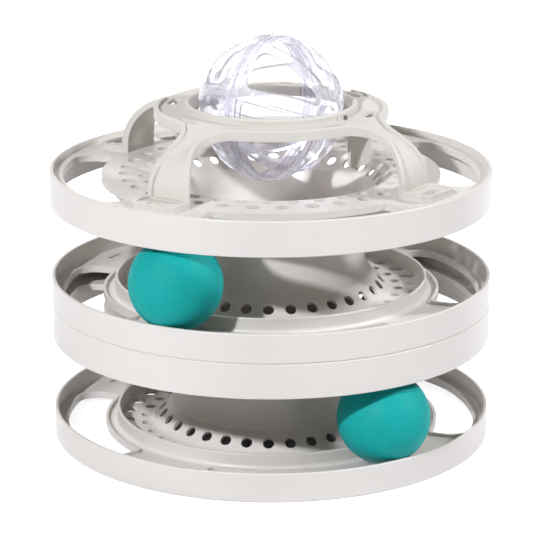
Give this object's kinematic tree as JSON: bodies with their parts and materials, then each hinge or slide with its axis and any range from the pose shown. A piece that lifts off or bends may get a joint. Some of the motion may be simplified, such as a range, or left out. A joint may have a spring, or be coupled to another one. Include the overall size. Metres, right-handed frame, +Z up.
{
  "type": "cat ball track toy",
  "caption": "Round cat toy tower: stacked tray tracks on bell-shaped hubs hold rolling balls, and a clear ball spins in a legged ring on top.",
  "frame": {"origin": "centre of the bottom rim, on the floor", "axes": "+Z up the tower's axis; the tray windows face +X, -X, +Y and -Y, the stand's legs stand on the diagonals, and the clear ball's pivot line runs along the +X-Y diagonal"},
  "size_m": [0.25, 0.25, 0.2304],
  "materials": {
    "ivory_plastic": "satin moulded",
    "stand_plastic": "satin moulded",
    "teal_plastic": "matte",
    "clear_plastic": "clear polished",
    "pin_plastic": "smooth"
  },
  "bodies": {
    "tower": {"bottom_track": "ivory_plastic", "lower_roof": "ivory_plastic", "upper_track": "ivory_plastic", "top_roof": "ivory_plastic", "ball_stand": "stand_plastic"},
    "lower_track_ball": {"lower_ball": "teal_plastic"},
    "upper_track_ball": {"upper_ball": "teal_plastic"},
    "clear_ball": {"front_shell": "clear_plastic", "rear_shell": "clear_plastic", "front_pivot_pin": "pin_plastic", "rear_pivot_pin": "pin_plastic"}
  },
  "joints": [
    {"name": "lower_ball_orbit", "type": "hinge", "parent": "tower", "child": "lower_track_ball", "pos_m": [0, 0, 0], "axis": [0, 0, 1], "continuous": true},
    {"name": "upper_ball_orbit", "type": "hinge", "parent": "tower", "child": "upper_track_ball", "pos_m": [0, 0, 0], "axis": [0, 0, 1], "continuous": true},
    {"name": "clear_ball_spin", "type": "hinge", "parent": "tower", "child": "clear_ball", "pos_m": [0, 0, 0.18869], "axis": [0.7071, -0.7071, 0], "continuous": true}
  ]
}
